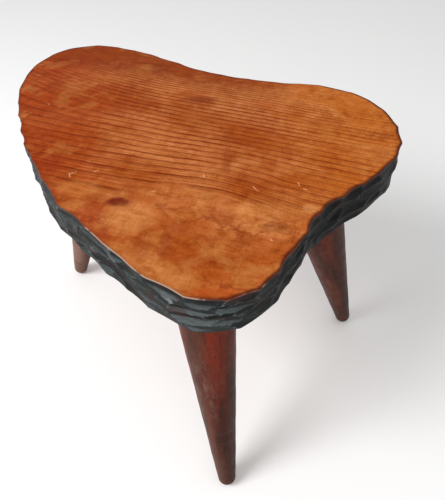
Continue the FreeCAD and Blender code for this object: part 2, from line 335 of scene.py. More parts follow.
def fir_grain(graph, place):
    """Stained fir: its colour, the relief of rings and fibres, and the fine mottle for the roughness."""
    x, y, _ = graph.split(place)
    along, across, z = grain_frame(graph, place)
    age = ring_age(graph, along, across, z)
    phase = graph.math("FRACT", age)
    early = graph.span(across, -0.07, 0.05, 0.56, 0.50)
    share = graph.math("DIVIDE", graph.math("SUBTRACT", phase, early), graph.math("SUBTRACT", 0.88, early))
    ring = graph.times(graph.step(share, 0.0, 1.0), graph.step(phase, 0.91, 1.0, reverse=True))
    third = graph.math("FRACT", graph.times(age, 3.0))
    false_ring = graph.times(graph.step(third, 0.45, 0.80), graph.step(third, 0.85, 1.0, reverse=True))

    broken = graph.noise(graph.join(graph.times(along, 0.22), across, z), 62.0, 3.0, 0.6)
    patch = graph.noise(place, 13.0, 2.0)
    # In front of this slanting, ragged line the rings are lost in the stain.
    slant = graph.times(graph.math("MINIMUM", along, 0.0), -0.8)
    edge = graph.add(graph.add(across, graph.signed_noise(place, 16.0, 0.016)), slant)
    tame = graph.step(edge, -0.098, -0.070)
    left = graph.step(graph.add(x, graph.signed_noise(place, 7.0, 0.06)), -0.19, -0.02, reverse=True)
    back_share = graph.span(graph.step(x, 0.02, 0.10), 0.0, 1.0, 1.0, 0.2)
    back = graph.times(graph.step(across, 0.085, 0.135), back_share)
    right = graph.step(graph.add(x, graph.signed_noise(place, 8.0, 0.04)), 0.05, 0.17)
    clarity = graph.times(graph.step(broken, 0.34, 0.58), graph.step(patch, 0.22, 0.50))
    clarity = graph.times(graph.add(0.48, graph.times(clarity, 0.52)), tame)
    clarity = graph.times(clarity, graph.add(1.0, graph.times(right, -0.30)))
    corner = worn_corner(graph, place, 0.0)
    clarity = graph.times(clarity, graph.add(1.0, graph.times(corner, -0.55)))
    clarity = graph.times(clarity, graph.add(1.0, graph.times(graph.math("MAXIMUM", left, back), -0.40)))
    faint = graph.times(graph.step(across, -0.06, -0.01, reverse=True), graph.step(x, 0.01, 0.06))
    clarity = graph.times(clarity, graph.add(1.0, graph.times(faint, -0.45)))
    ring = graph.times(ring, clarity)

    cloud = graph.noise(graph.join(graph.times(along, 0.8), across, z), 15.0, 3.0, 0.6)
    smudge = graph.noise(graph.join(along, graph.times(across, 0.35), z), 75.0, 3.0, 0.6)
    mottle = graph.noise(graph.join(graph.times(along, 0.85), across, z), 110.0, 6.0, 0.78)
    streak_place = graph.join(graph.times(along, 0.05), across, z)
    streak = graph.noise(streak_place, 380.0, 4.0, 0.72)
    fibre = graph.noise(streak_place, 1300.0, 2.0, 0.6)
    chatter = graph.noise(graph.join(along, graph.times(across, 0.15), z), 760.0, 3.0, 0.7)

    color = graph.mix(graph.step(cloud, 0.34, 0.66), srgb(160, 75, 24), srgb(189, 110, 58))
    color = graph.mix(graph.times(left, 0.72), color, srgb(150, 50, 8))
    color = graph.mix(graph.times(back, 0.82), color, srgb(138, 56, 6))
    color = graph.mix(graph.times(right, 0.55), color, srgb(196, 106, 32))
    color = graph.mix(graph.times(corner, 0.30), color, srgb(206, 118, 44))
    past_band = graph.math("SUBTRACT", 1.0, worn_corner(graph, place, 3.0))
    band = graph.times(worn_corner(graph, place, -5.0), past_band)
    color = graph.mix(graph.times(band, 0.30), color, srgb(224, 150, 84))
    fine_rings = graph.times(tame, graph.span(graph.step(across, -0.085, -0.035), 0.0, 1.0, 0.55, 0.24))
    color = graph.mix(graph.times(false_ring, fine_rings), color, srgb(116, 40, 4))
    color = graph.mix(ring, color, srgb(112, 32, 0))

    # Near the heart the stain pooled, darker towards the edge of each pool.
    wild = graph.add(0.30, graph.times(graph.math("SUBTRACT", 1.0, tame), 0.55))
    wild = graph.math("MAXIMUM", wild, graph.times(graph.math("MAXIMUM", left, back), 0.70))
    wild = graph.math("MAXIMUM", wild, graph.times(right, 0.50))
    pool = graph.noise(place, 30.0, 5.0, 0.60, 0.30)
    pale = graph.times(graph.step(pool, 0.50, 0.62), graph.times(wild, 0.46))
    color = graph.mix(pale, color, srgb(184, 122, 62))
    brim = graph.times(graph.step(pool, 0.435, 0.480), graph.step(pool, 0.490, 0.515, reverse=True))
    brim = graph.times(brim, graph.step(broken, 0.42, 0.60))
    color = graph.mix(graph.times(brim, graph.times(wild, 0.62)), color, srgb(118, 42, 10))
    blot = graph.noise(place, 66.0, 5.0, 0.62)
    blot = graph.times(graph.step(blot, 0.52, 0.64), graph.times(wild, 0.55))
    color = graph.mix(blot, color, srgb(138, 56, 14))

    blur_x = graph.add(x, graph.signed_noise(place, 90.0, 0.006))
    blur_y = graph.add(y, graph.signed_noise(graph.vector("ADD", place, (0.3, 0.1, 0.2)), 90.0, 0.005))
    for middle_x, middle_y, wide, deep, strength, stain in STAINS:
        mark = stain_mark(graph, blur_x, blur_y, middle_x, middle_y, wide, deep)
        color = graph.mix(graph.times(mark, strength), color, srgb(*stain))

    streaky = graph.span(streak, 0.25, 0.75, -0.34, 0.34)
    streaky = graph.add(streaky, graph.span(fibre, 0.25, 0.75, -0.22, 0.22))
    streaky = graph.times(streaky, graph.span(tame, 0.0, 1.0, 0.60, 1.0))
    tone = graph.add(graph.add(1.0, streaky), graph.span(mottle, 0.25, 0.75, -0.38, 0.38))
    tone = graph.add(tone, graph.span(smudge, 0.25, 0.75, -0.15, 0.15))
    tone = graph.math("MAXIMUM", graph.add(tone, graph.span(chatter, 0.25, 0.75, -0.17, 0.17)), 0.15)
    relief = graph.add(graph.times(ring, 0.7), graph.times(streak, 0.5))
    return stain_shade(graph, color, tone), relief, mottle


def fir_top():
    """The polished, red-stained top."""
    graph = Graph("fir_top")
    place = graph.place()
    x, y, _ = graph.split(place)
    color, relief, mottle = fir_grain(graph, place)
    marks = scratch_mark(graph, place, SCRATCHES[0])
    for ends in SCRATCHES[1:]:
        marks = graph.math("MAXIMUM", marks, scratch_mark(graph, place, ends))
    broken = graph.times(marks, graph.step(graph.noise(place, 900.0, 2.0), 0.36, 0.54))
    color = graph.mix(graph.times(broken, 0.85), color, srgb(240, 184, 140))

    inset = graph.add(graph.attribute("inset_mm"), graph.signed_noise(place, 90.0, 2.0))
    near_edge = graph.step(inset, 0.4, 4.4, reverse=True)
    right_side = graph.step(graph.add(x, graph.times(y, -0.45)), 0.085, 0.135)
    back_side = graph.step(y, 0.06, 0.12)
    stained = graph.add(graph.add(0.20, graph.times(right_side, 0.72)), graph.times(back_side, 0.35))
    color = graph.mix(graph.times(near_edge, stained), color, srgb(70, 22, 14))
    graph.set(Base_Color=color)
    graph.set(Roughness=graph.span(mottle, 0.3, 0.7, 0.40, 0.52))
    graph.shader.inputs["Specular IOR Level"].default_value = 0.025
    graph.set(Normal=graph.bump(graph.math("SUBTRACT", relief, graph.times(marks, 1.2)), 0.15 * MM, 0.6))
    return graph.material


def fir_underside():
    """The bare, sawn underside: duller, greyer, with the saw's marks across the grain."""
    graph = Graph("fir_underside")
    place = graph.place()
    color, relief, mottle = fir_grain(graph, place)
    along, _, _ = grain_frame(graph, place)
    saw = graph.math("SINE", graph.times(graph.add(along, graph.signed_noise(place, 20.0, 0.002)), 1500.0))
    color = graph.mix(0.45, color, srgb(150, 108, 70))
    graph.set(Base_Color=graph.shade(color, graph.span(saw, -1.0, 1.0, 0.90, 1.02)))
    graph.set(Roughness=graph.span(mottle, 0.3, 0.7, 0.62, 0.78))
    graph.shader.inputs["Specular IOR Level"].default_value = 0.3
    graph.set(Normal=graph.bump(graph.add(relief, graph.times(saw, 0.4)), 0.2 * MM, 0.6))
    return graph.material


def rim_paint_and_light():
    """Charcoal stain brushed over gouge cuts, with painted light: a slate painted highlight where a facet
    looks up, painted shade near black where it looks down, painted shade at the sides and painted glints on
    the ridges.
    """
    graph = Graph("rim_charcoal_and_painted_light")
    place = graph.place()
    brushed = graph.stretch(place, 1.0, 1.0, 6.0)
    streak = graph.noise(brushed, 150.0, 4.0, 0.65)
    cloud = graph.noise(place, 38.0, 3.0, 0.6)
    fleck = graph.noise(place, 620.0, 4.0, 0.75)
    _, _, lift = graph.split(graph.facing())
    facet = graph.attribute("facet")
    lift = graph.add(lift, graph.signed_noise(place, 190.0, 0.16))
    lift = graph.add(lift, graph.span(facet, 0.0, 1.0, -0.26, 0.26))
    color = graph.mix(graph.step(cloud, 0.35, 0.65), srgb(27, 26, 25), srgb(34, 37, 37))
    green = graph.times(graph.step(graph.noise(place, 21.0, 2.0), 0.50, 0.68), 0.5)
    color = graph.mix(green, color, srgb(30, 42, 38))
    # Painted highlight, slate, on facets that look up, and painted shade, near black, on facets that look
    # down; each cut's random tone shifts where they fall.
    color = graph.mix(graph.step(lift, 0.16, 0.52), color, srgb(76, 82, 83))
    color = graph.mix(graph.times(graph.step(lift, -0.30, 0.12, reverse=True), 0.90), color, srgb(13, 12, 12))
    maroon = graph.noise(graph.stretch(place, 1.0, 1.0, 2.0), 52.0, 3.0)
    color = graph.mix(graph.times(graph.step(maroon, 0.53, 0.66), 0.60), color, srgb(62, 36, 31))
    color = graph.shade(color, graph.span(streak, 0.25, 0.75, 0.60, 1.40))

    # Painted shade: the rim is darker at both sides than on the front, where the light falls on it less.
    x, _, _ = graph.split(place)
    right_rim = graph.step(x, 0.02, 0.09)
    left_rim = graph.step(x, -0.10, -0.02, reverse=True)
    painted_side_shade = graph.add(1.0, graph.add(graph.times(right_rim, -0.78), graph.times(left_rim, -0.46)))
    color = graph.shade(graph.mix(graph.times(right_rim, 0.35), color, srgb(48, 36, 30)), painted_side_shade)
    # Paint rubbed off the ridges, which also stands for painted glints; dimmed by the painted side shade.
    worn = graph.times(graph.attribute("ridge"), graph.step(graph.noise(place, 70.0, 3.0), 0.46, 0.60))
    color = graph.mix(graph.times(worn, graph.times(painted_side_shade, 0.60)), color, srgb(132, 140, 144))
    fleck_mark = graph.times(graph.step(fleck, 0.62, 0.76), graph.times(painted_side_shade, 0.40))
    color = graph.mix(fleck_mark, color, srgb(128, 130, 130))
    graph.set(Base_Color=color)
    graph.set(Roughness=graph.span(streak, 0.25, 0.75, 0.34, 0.50))
    graph.shader.inputs["Specular IOR Level"].default_value = 0.08
    graph.set(Normal=graph.bump(graph.add(graph.times(streak, 0.7), graph.times(fleck, 0.5)), 0.6 * MM, 0.8))
    return graph.material


def arris_wear():
    """The corner between top and rim: dark stain, rubbed to pale bare wood along the front left."""
    graph = Graph("arris_worn")
    place = graph.place()
    x, y, _ = graph.split(place)
    patch = graph.noise(place, 75.0, 4.0, 0.65)
    front = graph.step(y, -0.155, -0.125, reverse=True)
    front_left = graph.times(front, graph.step(x, 0.0, 0.035, reverse=True))
    tip = graph.times(graph.step(y, -0.205, -0.190, reverse=True), 0.6)
    bare = graph.math("MAXIMUM", front_left, tip)
    amount = graph.step(graph.add(patch, graph.span(bare, 0.0, 1.0, -0.30, 0.12)), 0.45, 0.58)
    cloud = graph.step(graph.noise(place, 40.0, 3.0), 0.42, 0.60)
    stain = graph.mix(cloud, srgb(58, 34, 30), srgb(104, 44, 28))
    graph.set(Base_Color=graph.mix(amount, stain, srgb(150, 120, 108)))
    graph.set(Roughness=graph.span(patch, 0.3, 0.7, 0.42, 0.60))
    graph.shader.inputs["Specular IOR Level"].default_value = 0.3
    graph.set(Normal=graph.bump(patch, 0.3 * MM, 0.4))
    return graph.material


def leg_wood(leg, seed, length, redness, fading_and_sheen):
    """Stained mahogany: dark pores, red where the stain is whole, brown and scuffed where it has worn, with a
    painted sheen and highlight on the left-facing side and painted shade on the right.
    """
    graph = Graph("mahogany_" + leg)
    on_leg = graph.attribute("along_leg", "Vector")
    place = graph.vector("ADD", on_leg, (seed * 0.37, seed * 0.21, seed * 0.13))
    _, _, rise = graph.split(on_leg)
    share = graph.span(rise, -length, 0.0, 0.0, 1.0)
    faces_x, _, _ = graph.split(graph.facing())
    ribbon = graph.noise(graph.stretch(place, 1.0, 1.0, 0.05), 75.0, 3.0, 0.6)
    figure = graph.noise(graph.stretch(place, 1.0, 1.0, 0.12), 38.0, 3.0, 0.6)
    pores = graph.noise(graph.stretch(place, 1.0, 1.0, 0.05), 900.0, 3.0, 0.7)
    blotch = graph.noise(graph.stretch(place, 1.0, 1.0, 0.6), 26.0, 4.0, 0.6)
    color = graph.mix(graph.step(ribbon, 0.32, 0.68), srgb(44, 20, 13), srgb(92, 43, 28))
    color = graph.mix(graph.times(graph.step(blotch, 0.46, 0.62), 0.7), color, srgb(66, 36, 26))
    red = graph.times(graph.step(figure, 0.36, 0.60), graph.step(share, 0.12, 0.95))
    color = graph.mix(graph.times(red, redness), color, srgb(124, 38, 18))
    color = graph.mix(graph.times(graph.step(share, 0.0, 0.24, reverse=True), 0.60), color, srgb(72, 42, 30))
    color = graph.mix(graph.times(graph.step(pores, 0.50, 0.70), 0.60), color, srgb(28, 12, 8))
    # Pale, worn finish and painted sheen on the left-facing side: the more a leg has lost its stain, the
    # further this reaches round it and the more evenly it lies.
    faded_and_sheen = graph.step(faces_x, -0.75 + 0.6 * fading_and_sheen, 0.05 + 1.1 * fading_and_sheen, reverse=True)
    faded_and_sheen = graph.times(faded_and_sheen, graph.step(blotch, 0.34 - 0.10 * fading_and_sheen, 0.62 - 0.10 * fading_and_sheen))
    faded_and_sheen = graph.times(faded_and_sheen, graph.span(graph.step(share, 0.40, 0.78), 0.0, 1.0, 1.0, 0.25))
    color = graph.mix(graph.times(faded_and_sheen, fading_and_sheen), color, srgb(136, 102, 88))
    # Scuffs in the middle of the leg, kept to the left-facing side, where they also stand for a painted
    # highlight.
    middle = graph.times(graph.step(share, 0.30, 0.46), graph.step(share, 0.56, 0.72, reverse=True))
    scuff_and_highlight = graph.step(graph.noise(graph.stretch(place, 1.0, 1.0, 0.4), 150.0, 4.0, 0.7), 0.46, 0.80)
    scuff_and_highlight = graph.times(scuff_and_highlight, graph.step(faces_x, -0.45, 0.25, reverse=True))
    color = graph.mix(graph.times(graph.times(middle, scuff_and_highlight), 0.42), color, srgb(152, 122, 102))
    # Painted shade on the right-facing side, weaker on a paler leg.
    painted_shade = graph.times(graph.step(faces_x, 0.15, 0.85), 0.45 * (1 - fading_and_sheen))
    color = graph.mix(painted_shade, color, srgb(46, 24, 18))
    dust = graph.times(graph.step(graph.noise(place, 120.0, 5.0, 0.75), 0.50, 0.72), 0.10)
    color = graph.mix(dust, color, srgb(150, 122, 106))
    graph.set(Base_Color=color)
    graph.set(Roughness=graph.span(blotch, 0.3, 0.7, 0.36, 0.52))
    graph.shader.inputs["Specular IOR Level"].default_value = 0.09
    graph.set(Normal=graph.bump(graph.add(graph.times(pores, -0.6), ribbon), 0.15 * MM, 0.5))
    return graph.material


def zinc_steel():
    """Zinc-plated steel, slightly clouded, with the fine marks of the press and the lathe."""
    graph = Graph("zinc_plated_steel")
    place = graph.place()
    cloud = graph.noise(place, 120.0, 4.0, 0.6)
    fine = graph.noise(graph.stretch(place, 1.0, 1.0, 6.0), 900.0, 3.0, 0.6)
    graph.set(Base_Color=graph.mix(cloud, srgb(150, 152, 152), srgb(188, 188, 182)))
    graph.shader.inputs["Metallic"].default_value = 1.0
    graph.set(Roughness=graph.span(fine, 0.3, 0.7, 0.26, 0.42))
    graph.set(Normal=graph.bump(fine, 0.05 * MM, 0.4))
    return graph.material


# --- The carved seat ------------------------------------------------------------------------------

# The rim's mesh: the spacing of its points, its rows, and its rounded edges at the top and bottom.
RIM_CELL = 1.2 * MM
RIM_ROWS = 44
ARRIS = 0.8 * MM
ARRIS_INSET = 0.7 * MM
LOWER_ROUND = 2.5 * MM

# How the outline is read: its points lie this close to the arris, and are spaced out and blurred by turns.
ON_ARRIS = 0.05 * MM
OUTLINE_TURNS = 2880
OUTLINE_BLUR = 16

# The carving, in millimetres: how far the uncut rim stands out and how wide a ridge is. Cuts above
# HIGH_CUT, further back than BACK_STARTS metres, are only BACK_DEPTH as deep.
PROUD = 1.7
RIDGE_WIDTH = 0.16
HIGH_CUT = 28.0
BACK_STARTS = 0.045
BACK_DEPTH = 0.5
CARVING_SEED = 11
STRAY_CUTS = 46

# Rows of faces: how many at the foot of the rim are bare, how far in from the edge of the top, in
# millimetres, and the shares of the way from there to the middle.
UNDERSIDE_ROWS = 2
EDGE_STEPS = (1.0, 2.5, 5.0, 9.0)
MIDDLE_SHARES = (0.15, 0.35, 0.6, 0.85)

# The seat's material slots, in order.
TOP, WORN_ARRIS, RIM, UNDERSIDE = range(4)

SEAT_MIDDLE = (-0.01, 0.02)
BORDER_SHARE = 0.97
DEEP_INSET = 50.0
SHARP_COSINE = math.cos(math.radians(40.0))

SOCKET_SIDES = 96

# Clearances round each leg's head, nut plate, nut barrel and bolt.
SOCKET_GAP = 0.5 * MM
FLOOR_GAP = 0.1 * MM
RECESS_GAP = 0.3 * MM
RECESS_HEADROOM = 0.05 * MM
BARREL_GAP = 0.2 * MM
BOLT_HEADROOM = 2.0 * MM

# Where a nut plate's flat part ends, as a share of its radius, and how far over it only the barrel is.
PLATE_FLAT_SHARE = 0.9
OVER_PLATE = 1.0 * MM

# For the triangles of the underside: keep what is inside the edges, and join points closer than this.
INSIDE_EDGES = 1
JOIN_DISTANCE = 1e-7

# The gouge cuts in rows up the rim: height of the row's middle, cut length, width and depth, all in
# millimetres, and the row's usual lean in degrees.
CUT_ROWS = (
    (4.5, 48.0, 15.5, 3.0, -3.0),
    (14.5, 50.0, 15.0, 3.6, 4.0),
    (24.5, 48.0, 15.0, 3.5, -4.0),
    (34.8, 46.0, 14.5, 3.4, 2.0),
)


def smooth_closed(values, reach):
    """Blur a closed run of values with a short window, going round the end."""
    window = np.hanning(2 * reach + 3)[1:-1]
    window /= window.sum()
    padded = np.concatenate([values[-reach:], values, values[:reach]])
    return np.convolve(padded, window, mode="valid")


def seat_outline():
    """The plank's outline from the CAD seat, as points evenly spaced anticlockwise, in metres."""
    mesh = frame["nodes"]["seat"].data
    places = np.array([vertex.co for vertex in mesh.vertices])
    edge = places[np.abs(places[:, 2] - (SEAT_TOP - ARRIS)) < ON_ARRIS][:, :2]
    angles = np.arctan2(edge[:, 1], edge[:, 0])
    order = np.argsort(angles)
    reach = np.hypot(edge[:, 0], edge[:, 1])
    turn = np.linspace(-math.pi, math.pi, OUTLINE_TURNS, endpoint=False)
    radius = np.interp(turn, angles[order], reach[order], period=2 * math.pi)
    radius = smooth_closed(radius, OUTLINE_BLUR)
    curve = np.column_stack([radius * np.cos(turn), radius * np.sin(turn)])
    closed = np.vstack([curve, curve[:1]])
    run = np.concatenate([[0.0], np.cumsum(np.linalg.norm(np.diff(closed, axis=0), axis=1))])
    count = int(round(run[-1] / RIM_CELL))
    stations = np.arange(count) * run[-1] / count
    points = np.column_stack([np.interp(stations, run, closed[:, axis]) for axis in (0, 1)])
    return points, stations, run[-1]


def outward_normals(points):
    """The level direction out of the outline at each point, taken over three neighbours on each side."""
    ahead = np.roll(points, -3, axis=0) - np.roll(points, 3, axis=0)
    ahead /= np.linalg.norm(ahead, axis=1)[:, None]
    return np.column_stack([ahead[:, 1], -ahead[:, 0]])


def cut_places(rng, length):
    """Every gouge cut: station, height, length, width and depth in millimetres, and lean in degrees."""
    places = []
    for middle, cut_length, width, depth, lean in CUT_ROWS:
        station = rng.uniform(0, cut_length)
        end = station + length - 0.5 * cut_length
        while station < end:
            size = cut_length * rng.uniform(0.70, 1.30)
            places.append((station, middle + rng.uniform(-2.5, 2.5), size, width * rng.uniform(0.8, 1.2),
                           depth * rng.uniform(0.75, 1.2), lean + rng.uniform(-9, 9)))
            station += size * rng.uniform(0.62, 0.84)
    for _ in range(STRAY_CUTS):
        places.append((rng.uniform(0, length), rng.uniform(6, 32), rng.uniform(26, 44), rng.uniform(9, 13),
                       rng.uniform(3.6, 4.4), rng.uniform(-16, 16)))
    return places


def carve(stations, length, heights, points):
    """At each place of the rim: the depth of the deepest cut, its nearness to a ridge, and its facet's tone.

    Each cut is a long shallow scoop, fuller towards one end. Neighbouring scoops meet in crisp ridges.
    Along the back, the cuts that reach the top are shallower.
    """
    rng = np.random.default_rng(CARVING_SEED)
    run = stations / MM
    total = length / MM
    deepest = np.zeros((len(heights), len(run)))
    second = np.zeros_like(deepest)
    facet = np.full_like(deepest, 0.5)
    tones = np.random.default_rng(CARVING_SEED + 2)
    level = heights[:, None] / MM
    for station, height, size, wide, deep, lean in cut_places(rng, total):
        skew = rng.uniform(-0.35, 0.35)
        behind = points[int(station % total / total * len(points)), 1] > BACK_STARTS
        if behind and height > HIGH_CUT:
            deep *= BACK_DEPTH
        angle = math.radians(lean)
        offset = (run - station + total / 2) % total - total / 2
        near = np.abs(offset) < 0.75 * size
        along = offset[None, near] * math.cos(angle) + (level - height) * math.sin(angle)
        across = -offset[None, near] * math.sin(angle) + (level - height) * math.cos(angle)
        share = 2 * along / size
        share = share * (1 + skew * share)
        scoop = deep * (1 - share ** 2 - (2 * across / wide) ** 2)
        old = deepest[:, near]
        facet[:, near] = np.where(scoop > old, tones.uniform(0, 1), facet[:, near])
        deepest[:, near] = np.maximum(old, scoop)
        second[:, near] = np.maximum(second[:, near], np.minimum(old, scoop))
    ridge = np.exp(-((deepest - second) / RIDGE_WIDTH) ** 2)
    return deepest, ridge, facet


def slow_waves(stations, length):
    """The unevenness of the sawn outline, in millimetres: long waves that close on themselves."""
    rng = np.random.default_rng(CARVING_SEED + 1)
    turn = 2 * math.pi * stations / length
    wave = np.zeros_like(turn)
    for cycles in (7, 11, 16, 23):
        wave += rng.uniform(0.25, 0.5) * np.sin(cycles * turn + rng.uniform(0, 2 * math.pi))
    return wave


def ring_faces(first, second, count):
    """Quads between two closed rows of vertices, first below second."""
    return [
        (first + i, first + (i + 1) % count, second + (i + 1) % count, second + i) for i in range(count)
    ]


def about_axis(leg, node):
    """How far up one leg's axis, and how far out from it, each vertex of a CAD node lies."""
    origin, up = leg_axis(leg)
    places = np.array([vertex.co for vertex in frame["nodes"][node].data.vertices])
    away = places - np.array(origin)
    rise = away @ np.array(up)
    return rise, np.linalg.norm(away - rise[:, None] * np.array(up), axis=1)


def socket_rings(leg):
    """Rings up the hole for one leg: the mouth in the underside, socket, plate's recess and bolt's hole."""
    origin, up = leg_axis(leg)
    rise, radius = about_axis(leg, "leg_" + leg)
    plate_rise, plate_radius = about_axis(leg, "nut_plate_" + leg)
    bolt_rise, _ = about_axis(leg, "hanger_bolt_" + leg)
    wall = radius.max() + SOCKET_GAP
    floor = rise.max() + FLOOR_GAP
    recess = plate_radius.max() + RECESS_GAP
    recess_top = plate_rise[plate_radius > PLATE_FLAT_SHARE * plate_radius.max()].max() + RECESS_HEADROOM
    hole = plate_radius[plate_rise > recess_top + OVER_PLATE].max() + BARREL_GAP
    hole_top = bolt_rise.max() + BOLT_HEADROOM

    side = up.orthogonal().normalized()
    other = up.cross(side)
    turn = np.linspace(0, -2 * math.pi, SOCKET_SIDES, endpoint=False)[:, None]
    outward = np.cos(turn) * np.array(side) + np.sin(turn) * np.array(other)
    mouth = -wall * outward[:, 2:] / up.z
    rings = [np.array(origin) + wall * outward + mouth * np.array(up)]
    corners = ((wall, floor), (recess, floor), (recess, recess_top), (hole, recess_top), (hole, hole_top))
    for size, height in corners:
        rings.append(np.array(origin) + size * outward + height * np.array(up))
    return rings


def underside_faces(border, mouths):
    """Triangles that face down between the underside's border and the mouths of the three sockets."""
    loops = [loop[:, :2] for loop in (border, *mouths)]
    flat = [Vector(place) for place in np.vstack(loops)]
    edges = []
    first = 0
    for loop in loops:
        edges.extend((first + i, first + (i + 1) % len(loop)) for i in range(len(loop)))
        first += len(loop)
    _, _, triangles, sources, _, _ = delaunay_2d_cdt(flat, edges, [], INSIDE_EDGES, JOIN_DISTANCE, True)
    starts = np.vstack(loops)
    ends = np.vstack([np.roll(loop, -1, axis=0) for loop in loops])
    faces = []
    for triangle in triangles:
        corners = [sources[corner][0] for corner in triangle]
        x, y = starts[corners].mean(axis=0)
        # A ray from a place on the wood crosses the loops an odd number of times.
        spans = (starts[:, 1] > y) != (ends[:, 1] > y)
        low, high = starts[spans], ends[spans]
        crossing = low[:, 0] + (y - low[:, 1]) * (high[:, 0] - low[:, 0]) / (high[:, 1] - low[:, 1])
        if np.count_nonzero(crossing > x) % 2:
            faces.append(tuple(reversed(corners)))
    return faces


def make_seat():
    """The seat as one closed mesh: carved rim, flat top, and an underside bored for the three legs."""
    points, stations, length = seat_outline()
    normals = outward_normals(points)
    count = len(points)
    heights = np.linspace(0.0, SEAT_TOP - SEAT_BOTTOM - ARRIS, RIM_ROWS)
    depth, ridge, facet = carve(stations, length, heights, points)
    offset = PROUD + slow_waves(stations, length)[None, :] - depth
    below = np.clip(LOWER_ROUND - heights, 0.0, None)[:, None]
    tuck = (LOWER_ROUND - np.sqrt(LOWER_ROUND ** 2 - below ** 2)) / MM
    offset = (offset - tuck) * MM

    rows = []
    inset = []
    ridges = []
    facets = []
    faces = []
    slots = []

    def add_row(xy, z, inset_mm, slot, ridge_value=0.0, facet_value=0.5):
        """Add a closed row of vertices, joined to the row before it by faces of the slot's material."""
        rows.append(np.column_stack([xy, np.full(count, z)]))
        inset.append(np.broadcast_to(inset_mm, count))
        ridges.append(np.broadcast_to(ridge_value, count))
        facets.append(np.broadcast_to(facet_value, count))
        if len(rows) > 1:
            faces.extend(ring_faces((len(rows) - 2) * count, (len(rows) - 1) * count, count))
            slots.extend([slot] * count)

    centre = np.array(SEAT_MIDDLE)
    lower_edge = points + normals * offset[0][:, None]
    upper_edge = points + normals * (offset[-1][:, None] - ARRIS_INSET)
    add_row(centre + (lower_edge - centre) * BORDER_SHARE, SEAT_BOTTOM, DEEP_INSET, UNDERSIDE)
    for row, height in enumerate(heights):
        slot = UNDERSIDE if row < UNDERSIDE_ROWS else RIM
        outer = points + normals * offset[row][:, None]
        add_row(outer, SEAT_BOTTOM + height, 0.0, slot, ridge[row], facet[row])
    add_row(upper_edge, SEAT_TOP, 0.0, WORN_ARRIS)
    away = (centre - upper_edge) / np.linalg.norm(centre - upper_edge, axis=1)[:, None]
    for step in EDGE_STEPS:
        add_row(upper_edge + away * step * MM, SEAT_TOP, step, TOP)
    last = rows[-1][:, :2]
    for share in MIDDLE_SHARES:
        add_row(centre + (last - centre) * (1 - share), SEAT_TOP, DEEP_INSET, TOP)

    extra = [np.array([[*centre, SEAT_TOP]])]
    top_middle = len(rows) * count
    top_row = top_middle - count
    faces.extend((top_row + i, top_row + (i + 1) % count, top_middle) for i in range(count))
    slots.extend([TOP] * count)

    mouths = []
    mouth_starts = []
    start = top_middle + 1
    for leg in LEGS:
        rings = socket_rings(leg)
        mouths.append(rings[0])
        mouth_starts.append(start)
        for ring in range(len(rings) - 1):
            first = start + ring * SOCKET_SIDES
            faces.extend(ring_faces(first, first + SOCKET_SIDES, SOCKET_SIDES))
            slots.extend([UNDERSIDE] * SOCKET_SIDES)
        extra.extend(rings)
        start += len(rings) * SOCKET_SIDES
        faces.append(tuple(range(start - SOCKET_SIDES, start)))
        slots.append(UNDERSIDE)

    # The triangles count the border first and then the mouths, so each corner is moved to its own vertex.
    numbers = [*range(count)]
    for mouth_start in mouth_starts:
        numbers.extend(range(mouth_start, mouth_start + SOCKET_SIDES))
    for triangle in underside_faces(rows[0], mouths):
        faces.append(tuple(numbers[corner] for corner in triangle))
        slots.append(UNDERSIDE)

    vertices = np.vstack(rows + extra)
    mesh = bpy.data.meshes.new("seat_carved")
    mesh.from_pydata(vertices.tolist(), [], faces)
    mesh.polygons.foreach_set("material_index", slots)
    mesh.polygons.foreach_set("use_smooth", [True] * len(faces))
    attributes = (("inset_mm", inset, DEEP_INSET), ("ridge", ridges, 0.0), ("facet", facets, 0.5))
    for name, values, rest in attributes:
        values = np.concatenate(values)
        values = np.concatenate([values, np.full(len(vertices) - len(values), rest)])
        mesh.attributes.new(name, "FLOAT", "POINT").data.foreach_set("value", values.astype(np.float32))
    for material in (fir_top(), arris_wear(), rim_paint_and_light(), fir_underside()):
        mesh.materials.append(material)
    mesh.validate()
    mark_sharp_borders(mesh)
    seat = bpy.data.objects.new("seat_carved", mesh)
    bpy.context.scene.collection.objects.link(seat)
    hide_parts("seat")
    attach(seat, "seat_unit")


def mark_sharp_borders(mesh):
    """Keep a crisp line wherever two materials meet, and round the edges of the sockets."""
    sides = {}
    for polygon in mesh.polygons:
        for key in polygon.edge_keys:
            sides.setdefault(key, []).append(polygon)

    def is_sharp(edge):
        first, second = sides[edge.key]
        if first.material_index != second.material_index:
            return True
        return first.material_index == UNDERSIDE and first.normal.dot(second.normal) < SHARP_COSINE

    layer = mesh.attributes.new("sharp_edge", "BOOLEAN", "EDGE")
    layer.data.foreach_set("value", [is_sharp(edge) for edge in mesh.edges])


# --- The legs -------------------------------------------------------------------------------------

# For each leg: the seed of its grain, how red its stain still is, and how pale its left side has grown,
# partly worn finish and partly painted sheen.
LEG_FINISH = {"front": (5, 0.78, 0.17), "right": (6, 0.26, 0.05), "left": (7, 0.40, 0.78)}
LEG_SIDES = 96
LEG_RINGS = 90
TIP_RINGS = 14
TIP_RADIUS = 10.0 * MM
HEAD_ARRIS = 1.0 * MM
HEAD_TOLERANCE = 0.01 * MM

# The turner's unevenness dies out over this share of the leg at the tip and this length below the head.
TIP_CALM_SHARE = 0.08
HEAD_CALM = 30 * MM


def leg_axis(leg):
    """The leg's axis from the joint: a point on it, at the seat's underside, and its way up."""
    joint = next(item for item in frame["joints"] if item["child"] == leg + "_leg")
    return Vector(joint["pos_m"]), -Vector(joint["axis"]).normalized()


